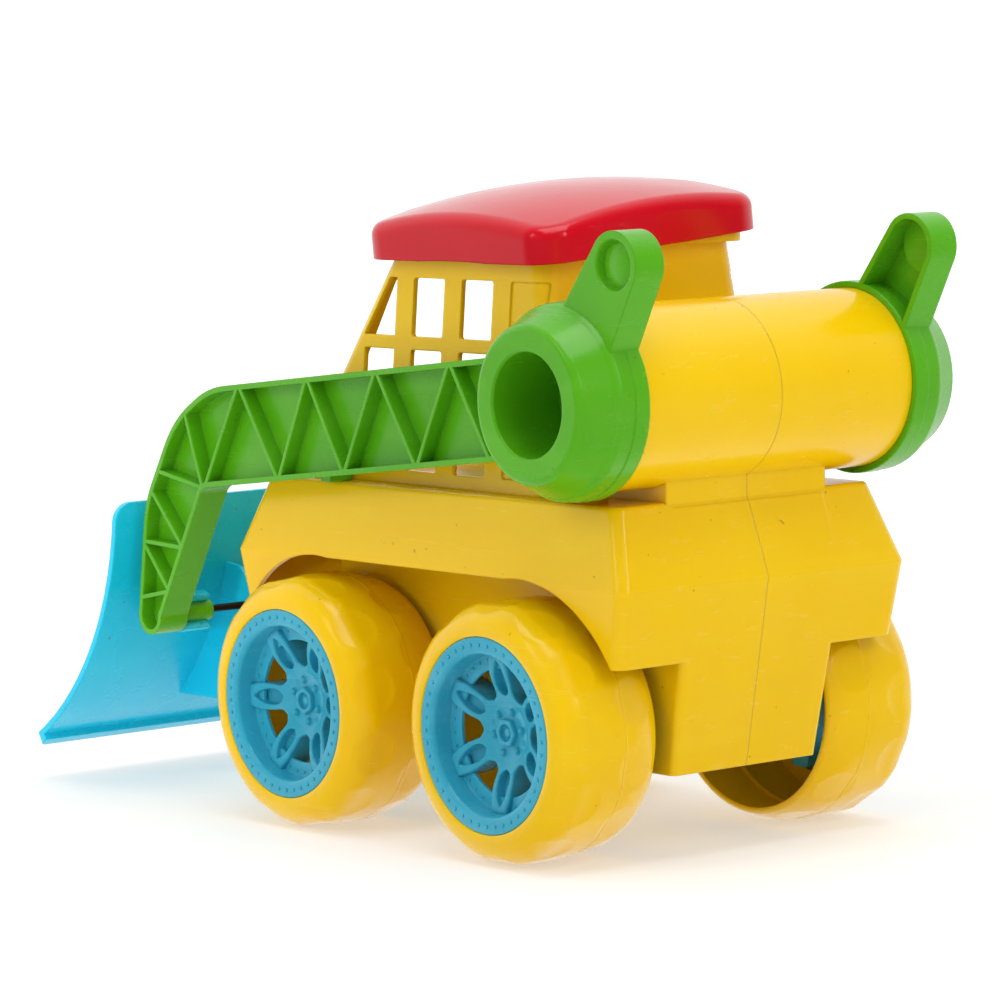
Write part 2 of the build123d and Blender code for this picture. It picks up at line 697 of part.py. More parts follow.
def make_pivot_screw(name, side):
    """Screw through the floor of the bore into the drum's bulkhead; the cap turns on its shank."""
    head_y = HEAD_SEAT_Y + 2.8
    with BuildPart() as screw:
        with BuildSketch(side_plane(head_y, side)):
            with Locations((DRUM_X, DRUM_Z)):
                Circle(5.0)
        extrude(amount=side * 2.6)
        with BuildSketch(side_plane(HEAD_SEAT_Y + 0.3, side)):
            with Locations((DRUM_X, DRUM_Z)):
                Circle(AXLE_R)
        extrude(amount=side * 14)
        with BuildSketch(side_plane(head_y, side)):
            with Locations((DRUM_X, DRUM_Z)):
                Rectangle(5.6, 1.1)
                Rectangle(1.1, 5.6)
        extrude(amount=side * 1.4, mode=Mode.SUBTRACT)
    save(screw, name)


for hand, side in (("left", 1), ("right", -1)):
    make_arm(f"arm_{hand}", side)
    make_pivot_screw(f"pivot_screw_{hand}", side)

ROD_HALF = 72.0
with BuildPart() as bucket_rod:
    with BuildSketch(Plane.XZ.offset(-ROD_HALF)):
        with Locations((PIVOT_X, PIVOT_Z)):
            Circle(ROD_R)
    extrude(amount=2 * ROD_HALF)
save(bucket_rod, "bucket_rod")


# ---------------------------------------------------------------- bucket
TOP_ANGLE = 180 + math.degrees(math.asin((BLADE_CZ - BLADE_TOP_Z) / BLADE_R))
LIP_ANGLE = 180 + math.degrees(math.acos((BLADE_CX - LIP_X) / BLADE_R))
CLIP_Y = (53.0, 66.0)
CLIP_MOUTH = 50.0
BEAD_ANGLE = 2.4
BEAD_T = 5.2

with BuildPart() as bucket:
    # lugs that steady the rod, and the arms of the two clips
    for side in (1, -1):
        with BuildSketch(side_plane(LUG_Y + LUG_T / 2, side)):
            with BuildLine():
                Polyline(
                    (at_x(290), LUG_BOTTOM_Z),
                    (at_x(252), LUG_BOTTOM_Z),
                    (PIVOT_X - 6.5, PIVOT_Z - 8),
                    (PIVOT_X - 6.5, PIVOT_Z + 5),
                    (at_x(232), 90),
                    (at_x(256), 94),
                    close=True,
                )
            make_face()
            with Locations((PIVOT_X, PIVOT_Z)):
                Circle(ROD_R + 0.1, mode=Mode.SUBTRACT)
        extrude(amount=side * LUG_T)
        with BuildSketch(side_plane(CLIP_Y[1], side)):
            with Locations((PIVOT_X, PIVOT_Z)):
                Circle(CLIP_R)
            with Locations((PIVOT_X + 16, PIVOT_Z)):
                Rectangle(26, 13)
            with Locations((PIVOT_X, PIVOT_Z)):
                Circle(BOSS_R + CLIP_FIT, mode=Mode.SUBTRACT)
            reach = 2 * CLIP_R
            mouth = math.radians(CLIP_MOUTH)
            with BuildLine():
                Polyline(
                    (PIVOT_X + 1.5, PIVOT_Z),
                    (PIVOT_X - reach * math.cos(mouth), PIVOT_Z + reach * math.sin(mouth)),
                    (PIVOT_X - reach * math.cos(mouth), PIVOT_Z - reach * math.sin(mouth)),
                    close=True,
                )
            make_face(mode=Mode.SUBTRACT)
        extrude(amount=side * (CLIP_Y[1] - CLIP_Y[0]))
    # trim them at the blade's hollow side, then add the blade
    with BuildSketch(Plane.XZ):
        with Locations((BLADE_CX, BLADE_CZ)):
            Circle(BLADE_R + BLADE_T / 2)
    extrude(amount=100, both=True, mode=Mode.SUBTRACT)
    with BuildSketch(Plane.XZ.offset(-BLADE_HALF_Y)):
        with BuildLine():
            inner = CenterArc((BLADE_CX, BLADE_CZ), BLADE_R, TOP_ANGLE, LIP_ANGLE - TOP_ANGLE)
            outer = CenterArc((BLADE_CX, BLADE_CZ), BLADE_R + BLADE_T, TOP_ANGLE, LIP_ANGLE - TOP_ANGLE)
            Line(inner @ 0, outer @ 0)
            Line(inner @ 1, outer @ 1)
        make_face()
        # thicker bead along the lip
        with BuildLine():
            lip_in = CenterArc((BLADE_CX, BLADE_CZ), BLADE_R, LIP_ANGLE - BEAD_ANGLE, BEAD_ANGLE)
            lip_out = CenterArc((BLADE_CX, BLADE_CZ), BLADE_R + BEAD_T, LIP_ANGLE - BEAD_ANGLE, BEAD_ANGLE)
            Line(lip_in @ 0, lip_out @ 0)
            Line(lip_in @ 1, lip_out @ 1)
        make_face()
    extrude(amount=2 * BLADE_HALF_Y)
    upright = bucket.edges().filter_by(lambda edge: abs(edge.length - BLADE_T) < 0.01)
    corners = upright.filter_by(lambda edge: abs(abs(edge.center().Y) - BLADE_HALF_Y) < 0.01)
    fillet(corners.filter_by(lambda edge: edge.center().Z > 100), 8)
    beads = bucket.edges().filter_by(lambda edge: abs(edge.length - BEAD_T) < 0.01 and edge.center().Z < 25)
    fillet(beads.filter_by(lambda edge: abs(edge.center().Y) > BLADE_HALF_Y - 1), 2.5)
save(bucket, "bucket")
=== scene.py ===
import json
import math

import bpy
import numpy as np
from mathutils import Matrix, Vector


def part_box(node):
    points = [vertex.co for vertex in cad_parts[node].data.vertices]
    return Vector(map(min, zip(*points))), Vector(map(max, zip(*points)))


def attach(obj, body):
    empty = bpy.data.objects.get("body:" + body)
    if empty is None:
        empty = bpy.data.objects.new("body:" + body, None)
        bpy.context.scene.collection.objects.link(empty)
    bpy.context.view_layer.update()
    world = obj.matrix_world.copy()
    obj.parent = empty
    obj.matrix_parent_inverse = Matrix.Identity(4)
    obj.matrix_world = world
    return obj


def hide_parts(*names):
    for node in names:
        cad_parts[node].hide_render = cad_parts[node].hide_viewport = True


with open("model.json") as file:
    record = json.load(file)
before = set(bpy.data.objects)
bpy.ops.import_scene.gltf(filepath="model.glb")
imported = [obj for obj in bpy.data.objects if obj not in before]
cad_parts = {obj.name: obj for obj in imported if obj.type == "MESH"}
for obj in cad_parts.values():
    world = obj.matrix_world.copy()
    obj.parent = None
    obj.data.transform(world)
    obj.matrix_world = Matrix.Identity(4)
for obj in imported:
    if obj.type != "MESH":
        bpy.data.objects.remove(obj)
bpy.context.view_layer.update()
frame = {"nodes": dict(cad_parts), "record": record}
MM = 0.001


# ---------------------------------------------------------------- materials
def new_node(tree, kind, **inputs):
    node = tree.nodes.new(kind)
    for key, value in inputs.items():
        node.inputs[key.replace("_", " ")].default_value = value
    return node


def noise(tree, vector, scale, detail=3.0, stretch=None):
    """Noise over the object's own coordinates, in metres; stretch squeezes it into streaks."""
    if stretch:
        mapping = tree.nodes.new("ShaderNodeMapping")
        mapping.inputs["Scale"].default_value = stretch
        mapping.inputs["Rotation"].default_value = (0.3, 0.5, 0.7)
        tree.links.new(vector, mapping.inputs["Vector"])
        vector = mapping.outputs["Vector"]
    node = new_node(tree, "ShaderNodeTexNoise", Scale=scale, Detail=detail)
    tree.links.new(vector, node.inputs["Vector"])
    return node.outputs["Fac"]


def ramp(tree, source, low, high, first=0.0, last=1.0):
    node = tree.nodes.new("ShaderNodeMapRange")
    for key, value in (("From Min", low), ("From Max", high), ("To Min", first), ("To Max", last)):
        node.inputs[key].default_value = value
    tree.links.new(source, node.inputs["Value"])
    return node.outputs["Result"]


def mixed(tree, factor, a, b, blend="MIX"):
    node = tree.nodes.new("ShaderNodeMix")
    node.data_type = "RGBA"
    node.blend_type = blend
    for socket, value in (("A", a), ("B", b)):
        target = [s for s in node.inputs if s.name == socket and s.type == "RGBA"][0]
        if isinstance(value, tuple):
            target.default_value = value
        else:
            tree.links.new(value, target)
    if isinstance(factor, float):
        node.inputs[0].default_value = factor
    else:
        tree.links.new(factor, node.inputs[0])
    return [s for s in node.outputs if s.type == "RGBA"][0]


def combine(tree, operation, a, b):
    node = tree.nodes.new("ShaderNodeMath")
    node.operation = operation
    for index, value in enumerate((a, b)):
        if isinstance(value, (int, float)):
            node.inputs[index].default_value = value
        else:
            tree.links.new(value, node.inputs[index])
    return node.outputs[0]


def plastic(name, base, shade, pale, rough=0.30, coat=0.08, seam=False, edge=0.6, specks=0.45, soft=0.10):
    """Moulded plastic: slight colour drift, flow streaks, scuffs, dust specks and a faint uneven surface."""
    material = bpy.data.materials.new(name)
    material.use_nodes = True
    tree = material.node_tree
    shader = tree.nodes["Principled BSDF"]
    where = tree.nodes.new("ShaderNodeTexCoord").outputs["Object"]
    drift = ramp(tree, noise(tree, where, 14.0), 0.35, 0.65)
    colour = mixed(tree, drift, base, shade)
    flow = ramp(tree, noise(tree, where, 30.0, 4.0, (1.0, 0.25, 2.5)), 0.52, 0.72, 0.0, 0.35)
    colour = mixed(tree, flow, colour, pale)
    dust = ramp(tree, noise(tree, where, 310.0, 1.0), 0.775, 0.81, 0.0, specks)
    colour = mixed(tree, dust, colour, (0.10, 0.06, 0.02, 1))
    scuffs = ramp(tree, noise(tree, where, 85.0, 6.0, (0.15, 1.0, 3.0)), 0.60, 0.75)
    colour = mixed(tree, combine(tree, "MULTIPLY", scuffs, 0.15), colour, pale)
    tree.links.new(colour, shader.inputs["Base Color"])
    base_rough = ramp(tree, noise(tree, where, 45.0, 5.0), 0.3, 0.7, rough - 0.04, rough + 0.06)
    tree.links.new(combine(tree, "ADD", base_rough, combine(tree, "MULTIPLY", scuffs, 0.16)),
                   shader.inputs["Roughness"])
    shader.inputs["Coat Weight"].default_value = coat
    shader.inputs["Coat Roughness"].default_value = 0.12
    shader.inputs["IOR"].default_value = 1.49
    shader.inputs["Specular IOR Level"].default_value = 0.42
    shader.inputs["Subsurface Weight"].default_value = soft
    shader.inputs["Subsurface Radius"].default_value = (1.0, 0.6, 0.25)
    shader.inputs["Subsurface Scale"].default_value = 0.003
    # height in metres: slow waviness, a fine grain and thin scratches
    wave = combine(tree, "MULTIPLY", noise(tree, where, 38.0, 2.0), 0.00014)
    grain = combine(tree, "MULTIPLY", noise(tree, where, 1500.0, 2.0), 0.000006)
    scratch = combine(tree, "MULTIPLY", scuffs, -0.00001)
    height = combine(tree, "ADD", combine(tree, "ADD", wave, grain), scratch)
    if seam:
        split = tree.nodes.new("ShaderNodeSeparateXYZ")
        tree.links.new(where, split.inputs[0])
        off = combine(tree, "ABSOLUTE", split.outputs["Y"], 0)
        height = combine(tree, "ADD", height, ramp(tree, off, 0.0, 0.0006, -0.00012, 0.0))
    bump = new_node(tree, "ShaderNodeBump", Strength=0.55, Distance=1.0)
    tree.links.new(height, bump.inputs["Height"])
    bevel = tree.nodes.new("ShaderNodeBevel")
    bevel.samples = 6
    bevel.inputs["Radius"].default_value = edge * MM
    tree.links.new(bevel.outputs["Normal"], bump.inputs["Normal"])
    tree.links.new(bump.outputs["Normal"], shader.inputs["Normal"])
    return material


def steel(name):
    material = bpy.data.materials.new(name)
    material.use_nodes = True
    tree = material.node_tree
    shader = tree.nodes["Principled BSDF"]
    where = tree.nodes.new("ShaderNodeTexCoord").outputs["Object"]
    streak = ramp(tree, noise(tree, where, 160.0, 5.0, (1.0, 0.05, 1.0)), 0.35, 0.7)
    colour = mixed(tree, streak, (0.05, 0.025, 0.02, 1), (0.02, 0.010, 0.01, 1))
    tree.links.new(colour, shader.inputs["Base Color"])
    tree.links.new(ramp(tree, noise(tree, where, 420.0), 0.3, 0.7, 0.28, 0.5), shader.inputs["Roughness"])
    shader.inputs["Metallic"].default_value = 0.9
    bump = new_node(tree, "ShaderNodeBump", Strength=0.5, Distance=0.00002)
    tree.links.new(noise(tree, where, 900.0), bump.inputs["Height"])
    tree.links.new(bump.outputs["Normal"], shader.inputs["Normal"])
    return material


# base colour, its darker drift and its paler streaks
YELLOW = plastic("yellow_body", (0.88, 0.56, 0.001, 1), (0.86, 0.53, 0.001, 1), (0.90, 0.61, 0.006, 1),
                 rough=0.20, edge=1.1, seam=True)
YELLOW_TYRE = plastic("yellow_tyre", (0.88, 0.56, 0.001, 1), (0.86, 0.52, 0.001, 1), (0.90, 0.61, 0.006, 1),
                      rough=0.21, specks=0.35)
BLUE = plastic("blue_bucket", (0.008, 0.58, 0.84, 1), (0.006, 0.54, 0.80, 1), (0.03, 0.62, 0.87, 1),
               rough=0.26, edge=1.0)
BLUE_RIM = plastic("blue_rim", (0.04, 0.40, 0.56, 1), (0.03, 0.36, 0.51, 1), (0.12, 0.48, 0.66, 1),
                   rough=0.24, edge=0.3, specks=0.2)
GREEN = plastic("green_arm", (0.095, 0.41, 0.006, 1), (0.08, 0.37, 0.005, 1), (0.15, 0.48, 0.03, 1),
                rough=0.24, edge=0.9)
RED = plastic("red_roof", (0.60, 0.0006, 0.012, 1), (0.55, 0.0005, 0.009, 1), (0.66, 0.008, 0.025, 1),
              rough=0.12, coat=0.12, edge=1.4, specks=0.3, soft=0.0)
STEEL = steel("drawn_steel")

SLOT_MATERIALS = {"yellow_plastic": YELLOW, "blue_plastic": BLUE, "green_plastic": GREEN, "red_plastic": RED,
                  "steel": STEEL}
for part in frame["record"]["subparts"]:
    mesh = frame["nodes"][part["node"]].data
    mesh.materials.clear()
    mesh.materials.append(SLOT_MATERIALS[part["material_slot"]])


# ---------------------------------------------------------------- mesh tools
def mesh_object(name, verts, faces, material, body, smooth=True, angle=None):
    mesh = bpy.data.meshes.new(name)
    corners = [tuple(v) for v in np.asarray(verts, float)]
    mesh.from_pydata(corners, [], [tuple(int(i) for i in f) for f in faces])
    mesh.validate()
    mesh.materials.append(material)
    mesh.polygons.foreach_set("use_smooth", [smooth] * len(mesh.polygons))
    if angle:
        mesh.set_sharp_from_angle(angle=math.radians(angle))
    piece = bpy.data.objects.new(name, mesh)
    bpy.context.scene.collection.objects.link(piece)
    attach(piece, body)
    return piece


def lathe(profile, steps, push=None):
    """Closed surface of revolution about Y. Profile points are (radius, y); push moves the radius."""
    profile = np.asarray(profile, float)
    angles = np.linspace(0, 2 * math.pi, steps, endpoint=False)
    radius = np.repeat(profile[None, :, 0], steps, 0)
    across = np.repeat(profile[None, :, 1], steps, 0)
    if push:
        radius = radius - push(angles[:, None], across, radius)
    verts = np.stack((radius * np.sin(angles)[:, None], across, radius * np.cos(angles)[:, None]), -1)
    count = len(profile)
    ring = np.arange(steps)[:, None] * count
    after = (np.arange(steps)[:, None] + 1) % steps * count
    here, there = np.arange(count)[None, :], (np.arange(count)[None, :] + 1) % count
    faces = np.stack((ring + here, ring + there, after + there, after + here), -1).reshape(-1, 4)
    return verts.reshape(-1, 3), faces


def rounded(points, radii, steps=5):
    """Closed outline with its corners rounded by quadratic curves."""
    points = [np.array(p, float) for p in points]
    out = []
    for i, point in enumerate(points):
        before, after = points[i - 1], points[(i + 1) % len(points)]
        reach = radii[i]
        if reach <= 0:
            out.append(point)
            continue
        a = point + (before - point) * min(0.49, reach / np.linalg.norm(before - point))
        b = point + (after - point) * min(0.49, reach / np.linalg.norm(after - point))
        for t in np.linspace(0, 1, steps + 1):
            out.append((1 - t) ** 2 * a + 2 * t * (1 - t) * point + t * t * b)
    return np.array(out)


def divided(outline, pitch):
    """Outline with long sides divided, so that no step is longer than pitch."""
    out = []
    for a, b in zip(outline, np.roll(outline, -1, 0)):
        n = max(1, int(np.ceil(np.linalg.norm(b - a) / pitch)))
        out += [a + (b - a) * k / n for k in range(n)]
    return np.array(out)


def surface_nets(field, origin, step):
    """Mesh of the surface where the sampled field is zero; inside is negative."""
    shape = np.array(field.shape) - 1
    total, count = np.zeros((*shape, 3)), np.zeros(shape)

    def window(offset):
        return tuple(slice(o, o + n) for o, n in zip(offset, shape))

    for axis in range(3):
        others = [a for a in range(3) if a != axis]
        for p in (0, 1):
            for q in (0, 1):
                low = [0, 0, 0]
                low[others[0]], low[others[1]] = p, q
                high = list(low)
                high[axis] = 1
                a, b = field[window(low)], field[window(high)]
                crosses = (a < 0) != (b < 0)
                t = np.where(crosses, a / np.where(crosses, a - b, 1), 0)
                spot = np.zeros((*shape, 3)) + np.array(low)
                spot[..., axis] = t
                total += spot * crosses[..., None]
                count += crosses
    used = count > 0
    index = np.full(shape, -1)
    index[used] = np.arange(used.sum())
    verts = (np.argwhere(used) + total[used] / count[used][:, None]) * step + origin
    faces = []
    for axis in range(3):
        u, v = [a for a in range(3) if a != axis]
        a = field[tuple(slice(0, -1) if d == axis else slice(1, -1) for d in range(3))]
        b = field[tuple(slice(1, None) if d == axis else slice(1, -1) for d in range(3))]
        cells = np.argwhere((a < 0) != (b < 0))
        inside = (a < 0)[tuple(cells.T)]
        cells[:, u] += 1
        cells[:, v] += 1
        quad = []
        for du, dv in ((-1, -1), (0, -1), (0, 0), (-1, 0)):
            c = cells.copy()
            c[:, u] += du
            c[:, v] += dv
            quad.append(index[tuple(c.T)])
        quad = np.stack(quad, -1)
        flip = inside if axis != 1 else ~inside
        quad[~flip] = quad[~flip][:, ::-1]
        faces.append(quad)
    return verts, np.concatenate(faces)


def smooth_max(a, b, k):
    h = np.clip(0.5 + 0.5 * (a - b) / k, 0, 1)
    return b + (a - b) * h + k * h * (1 - h)


def smooth_min(a, b, k):
    return -smooth_max(-a, -b, k)


# ---------------------------------------------------------------- wheels
TYRE_R = 49.5
OUT_Y = 89.6
IN_Y = 43.2
RIM_R = 37.0
STAR_Y = 76.6
DIMPLES = 12                                   # in each row
DIMPLE_ROWS = ((79.5, 0.0), (55.5, 0.5))       # distance outward, and lag as a share of the pitch
DIMPLE_HALF_LENGTH = 9.2
DIMPLE_HALF_WIDTH = 8.6
DIMPLE_DEPTH = 0.95
SEAM_Y = 61.5
SEAM_HEIGHT = 0.16
TYRE_TURN = {"front": 11, "rear": 2}           # degrees, so that the wheels don't all match
STAR_TURN = {"front": 0, "rear": 30}


def tyre_push(angle, across, radius):
    """Depth below the full radius: staggered rows of oval dimples, and a parting line at full radius."""
    depth = np.zeros_like(across + angle)
    for row_y, lag in DIMPLE_ROWS:
        pitch = 2 * math.pi / DIMPLES
        nearest = (angle / pitch - lag + 0.5) % 1.0 - 0.5
        along = nearest * pitch * TYRE_R / DIMPLE_HALF_LENGTH
        over = (across - row_y) / DIMPLE_HALF_WIDTH
        depth += DIMPLE_DEPTH * np.clip(1 - along ** 2 - over ** 2, 0, None) ** 0.75
    outside = np.clip((radius - 44.6) / 1.5, 0, 1)
    line = SEAM_HEIGHT * np.clip(1 - np.abs(across - SEAM_Y) / 0.35, 0, 1)
    return (depth - line + SEAM_HEIGHT) * outside


def tyre_profile():
    """Closed outline of the hollow tyre: rim seat, outer shoulder, tread, inner wall, lip and inside."""
    seat = OUT_Y - 2.0
    shoulder = []
    centre, radius = (TYRE_R - 10.66, OUT_Y - 10.5), 10.66
    for t in np.linspace(math.radians(99.9), 0, 22):
        shoulder.append((centre[0] + radius * math.cos(t), centre[1] + radius * math.sin(t)))
    tread = [(TYRE_R, y) for y in np.concatenate((np.arange(78.3, 62.2, -0.8), np.arange(61.9, 61.1, -0.1),
                                                  np.arange(60.6, 59.3, -0.6)))]
    inner = []
    for t in np.linspace(0, math.radians(31.9), 22):
        inner.append((TYRE_R - 30.13 + 30.13 * math.cos(t), IN_Y + 16 - 30.13 * math.sin(t)))
    inner[-1] = (TYRE_R - 4.6, IN_Y + 0.5)
    lip = [(TYRE_R - 5.0, IN_Y + 0.1), (TYRE_R - 5.6, IN_Y), (TYRE_R - 6.2, IN_Y + 0.1),
           (TYRE_R - 6.6, IN_Y + 0.6)]
    back = [(TYRE_R - 4.4, IN_Y + 8), (TYRE_R - 3.8, IN_Y + 16), (TYRE_R - 3.8, 67.0), (TYRE_R - 5.2, 67.4),
            (TYRE_R - 5.2, 68.6), (TYRE_R - 3.8, 69.0), (TYRE_R - 3.8, OUT_Y - 12),
            (TYRE_R - 7.5, OUT_Y - 5.2), (RIM_R - 0.6, seat - 2.0), (RIM_R - 0.6, seat)]
    seat_edge = [(RIM_R + 0.12, seat), (RIM_R + 0.12, OUT_Y - 0.35), (RIM_R + 0.3, OUT_Y - 0.08)]
    return seat_edge + shoulder[1:] + tread + inner[1:] + lip + back


def rim_shell():
    """Flange, deep barrel and inner ring."""
    outline = [(RIM_R, OUT_Y - 2.0), (RIM_R, OUT_Y), (31.4, OUT_Y - 0.15), (30.3, OUT_Y - 1.3), (29.7, 80.6),
               (24.2, 80.2), (24.2, 78.5), (31.6, 78.5), (32.2, OUT_Y - 6.2), (33.8, OUT_Y - 4.2),
               (33.8, OUT_Y - 2.0)]
    reach = [0, 0.8, 1.0, 0.8, 0.6, 0.5, 0.4, 0.5, 0.5, 0.3, 0]
    return lathe(divided(rounded(outline, reach), 2.5), 192)


def rim_star():
    """Hub plate with six split spokes, nut, recess and small bosses; w is outward, 0 at STAR_Y."""
    step = 0.40
    half = 31.0
    u, v, w = np.meshgrid(np.arange(-half, half + step, step), np.arange(-half, half + step, step),
                          np.arange(-7.6, 9.6, step), indexing="ij")
    r = np.hypot(u, v)
    theta = np.arctan2(v, u)
    sector = math.pi / 3
    folded = (theta + sector / 2) % sector - sector / 2
    a, b = r * np.cos(folded), np.abs(r * np.sin(folded))
    # the spoke swells beyond its waist and ends bluntly against the barrel
    width = np.interp(a, (5, 11, 14.5, 19, 24, 28, 32), (9.0, 5.6, 4.8, 5.4, 5.5, 4.7, 3.9))
    star = smooth_min(b - width, r - 13.4, 3.2)
    star = np.maximum(star, r - 30.2)
    # the plate is flat in the middle and climbs outward along the spokes
    climb = np.interp(r, (0, 6, 11, 16, 22, 28, 31), (0.0, 0.1, 0.8, 2.8, 4.9, 6.3, 6.5))
    underside = np.interp(r, (0, 12, 16, 31), (-5.5, -5.5, -6.6, -6.6))
    body = smooth_max(smooth_max(star, w - climb, 1.1), underside - w, 0.5)
    # almond pocket in every spoke: rounded inner end, pointed outer end
    pocket_w = np.interp(a, (13.6, 14.6, 16.0, 18.5, 22.0, 25.5, 28.4), (-1.2, 1.5, 2.7, 3.2, 2.8, 1.6, -0.4))
    pocket = smooth_max(b - pocket_w, climb - 4.6 - w, 0.8)
    body = smooth_max(body, -pocket, 0.6)
    # nut, its recess and the pin inside it
    across_flats = np.max([np.abs(u * math.cos(t) + v * math.sin(t)) for t in (0, sector, 2 * sector)], 0)
    nut = smooth_max(smooth_max(across_flats - 4.9, w - 2.5, 0.7), -5.0 - w, 0.3)
    body = smooth_min(body, nut, 0.5)
    body = smooth_max(body, -smooth_max(r - 3.2, 0.3 - w, 0.5), 0.5)
    pin = smooth_max(r - 1.9, w - 1.3, 0.8)
    body = smooth_min(body, np.maximum(pin, -5.0 - w), 0.3)
    for k in range(6):
        t = math.radians(20 + 60 * k)
        off_axis = (u - 8.3 * math.cos(t)) ** 2 + (v - 8.3 * math.sin(t)) ** 2
        boss = np.sqrt(off_axis + np.maximum(w - 1.1, 0) ** 2) - 1.4
        body = smooth_min(body, np.maximum(boss, -4.0 - w), 0.4)
    for t in (math.radians(50), math.radians(230)):
        pit = np.sqrt((u - 9.0 * math.cos(t)) ** 2 + (v - 9.0 * math.sin(t)) ** 2 + (w - 0.9) ** 2) - 1.1
        body = smooth_max(body, -pit, 0.5)
    body = np.maximum(body, np.maximum(np.abs(u), np.abs(v)) - half + 0.2)
    return surface_nets(body, np.array((-half, -half, -7.6)), step)


def hub_tube():
    """Long hub behind the plate, down to the bearing."""
    outline = [(5.2, 72.5), (2.05, 72.5), (2.05, 39.0), (5.2, 39.0), (5.4, 55.0)]
    return lathe(rounded(outline, (0, 0, 0.3, 0.4, 0)), 48)


def rivets(radius, level, count, size, height, turn=0.0):
    """Ring of small domes standing on a plane at distance level, facing outward."""
    verts, faces = [], []
    for k in range(count):
        t = 2 * math.pi * (k + turn) / count
        centre = np.array((radius * math.sin(t), level, radius * math.cos(t)))
        start = len(verts)
        verts.append(centre + np.array((0, height, 0)))
        for lift, share in ((0.88, 0.5), (0.5, 0.85), (-0.3, 1.0)):
            for j in range(10):
                s = 2 * math.pi * j / 10
                reach = size * share
                verts.append(centre + np.array((reach * math.cos(s), height * lift, reach * math.sin(s))))
        for j in range(10):
            n = (j + 1) % 10
            faces.append((start, start + 1 + n, start + 1 + j))
            for level_index in (0, 1):
                a = start + 1 + level_index * 10
                faces.append((a + j, a + n, a + 10 + n, a + 10 + j))
    return np.array(verts), faces


def joined(parts):
    """One mesh from several."""
    verts, faces, start = [], [], 0
    for v, f in parts:
        verts.append(np.asarray(v, float))
        faces += [tuple(int(i) + start for i in face) for face in f]
        start += len(v)
    return np.concatenate(verts), faces


TYRE = lathe(tyre_profile(), 330, tyre_push)
STAR_V, STAR_F = rim_star()
STAR = (np.stack((STAR_V[:, 0], STAR_V[:, 2] + STAR_Y, STAR_V[:, 1]), -1), STAR_F)
FIXED_RIM = joined([rim_shell(), hub_tube(), rivets(34.0, OUT_Y - 0.05, 44, 0.72, 0.55),
                    rivets(27.9, 80.3, 36, 0.62, 0.5, 0.3)])


def placed(form, axle_x, side, turn):
    """Form about the Y axis turned by an angle in degrees, mirrored for the right side, in metres."""
    verts, faces = form
    s, c = math.sin(math.radians(turn)), math.cos(math.radians(turn))
    x = verts[:, 0] * c + verts[:, 2] * s
    z = -verts[:, 0] * s + verts[:, 2] * c
    out = np.stack((x, verts[:, 1] * side, z), -1) * MM + np.array((axle_x, 0, TYRE_R * MM))
    faces = [tuple(f) if side > 0 else tuple(f)[::-1] for f in faces]
    return out, faces


for axle in ("front", "rear"):
    low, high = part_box(f"axle_{axle}")
    axle_x = (low.x + high.x) / 2
    for hand, side in (("left", 1), ("right", -1)):
        turn = TYRE_TURN[axle]
        verts, faces = placed(TYRE, axle_x, side, turn)
        tyre = mesh_object(f"tyre_{axle}_{hand}_moulded", verts, faces, YELLOW_TYRE, f"{axle}_wheelset",
                           angle=50)
        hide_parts(f"tyre_{axle}_{hand}")
        verts, faces = placed(FIXED_RIM, axle_x, side, turn)
        shell = mesh_object(f"rim_{axle}_{hand}_shell", verts, faces, BLUE_RIM, f"{axle}_wheelset",
                            angle=50)
        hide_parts(f"rim_{axle}_{hand}")
        verts, faces = placed(STAR, axle_x, side, STAR_TURN[axle])
        mesh_object(f"rim_{axle}_{hand}_spokes", verts, faces, BLUE_RIM, f"{axle}_wheelset")


# ---------------------------------------------------------------- floor, lights, camera
def floor_material():
    material = bpy.data.materials.new("pale_floor")
    material.use_nodes = True
    tree = material.node_tree
    shader = tree.nodes["Principled BSDF"]
    where = tree.nodes.new("ShaderNodeTexCoord").outputs["Object"]
    patches = ramp(tree, noise(tree, where, 3.0), 0.3, 0.7)
    tint = mixed(tree, patches, (0.62, 0.61, 0.60, 1), (0.605, 0.595, 0.585, 1))
    tree.links.new(tint, shader.inputs["Base Color"])
    shader.inputs["Roughness"].default_value = 0.7
    shader.inputs["Specular IOR Level"].default_value = 0.1
    shader.inputs["Emission Color"].default_value = (1, 1, 1, 1)
    # the sheet glows a little, and more towards its far end, so that it stays white up to the backdrop
    distance = tree.nodes.new("ShaderNodeVectorMath")
    distance.operation = "LENGTH"
    tree.links.new(where, distance.inputs[0])
    glow = ramp(tree, distance.outputs["Value"], 0.35, 2.2, 0.42, 0.80)
    tree.links.new(glow, shader.inputs["Emission Strength"])
    return material


FLOOR_R, FLOOR_Z = 60, -0.0002
around = np.linspace(0, 2 * math.pi, 96, endpoint=False)
ring = [(FLOOR_R * math.cos(t), FLOOR_R * math.sin(t), FLOOR_Z) for t in around]
floor_mesh = bpy.data.meshes.new("floor")
floor_mesh.from_pydata(ring, [], [tuple(range(96))])
floor_mesh.materials.append(floor_material())
floor = bpy.data.objects.new("floor", floor_mesh)
bpy.context.scene.collection.objects.link(floor)
floor.visible_glossy = False

world = bpy.data.worlds.new("studio")
bpy.context.scene.world = world
world.use_nodes = True
background = world.node_tree.nodes["Background"]
background.inputs["Color"].default_value = (1.0, 1.0, 1.0, 1)
# the backdrop is plain white, and lights the object less than the lamps do
sky = world.node_tree
ray = sky.nodes.new("ShaderNodeLightPath")
heading = sky.nodes.new("ShaderNodeSeparateXYZ")
sky.links.new(sky.nodes.new("ShaderNodeTexCoord").outputs["Generated"], heading.inputs[0])
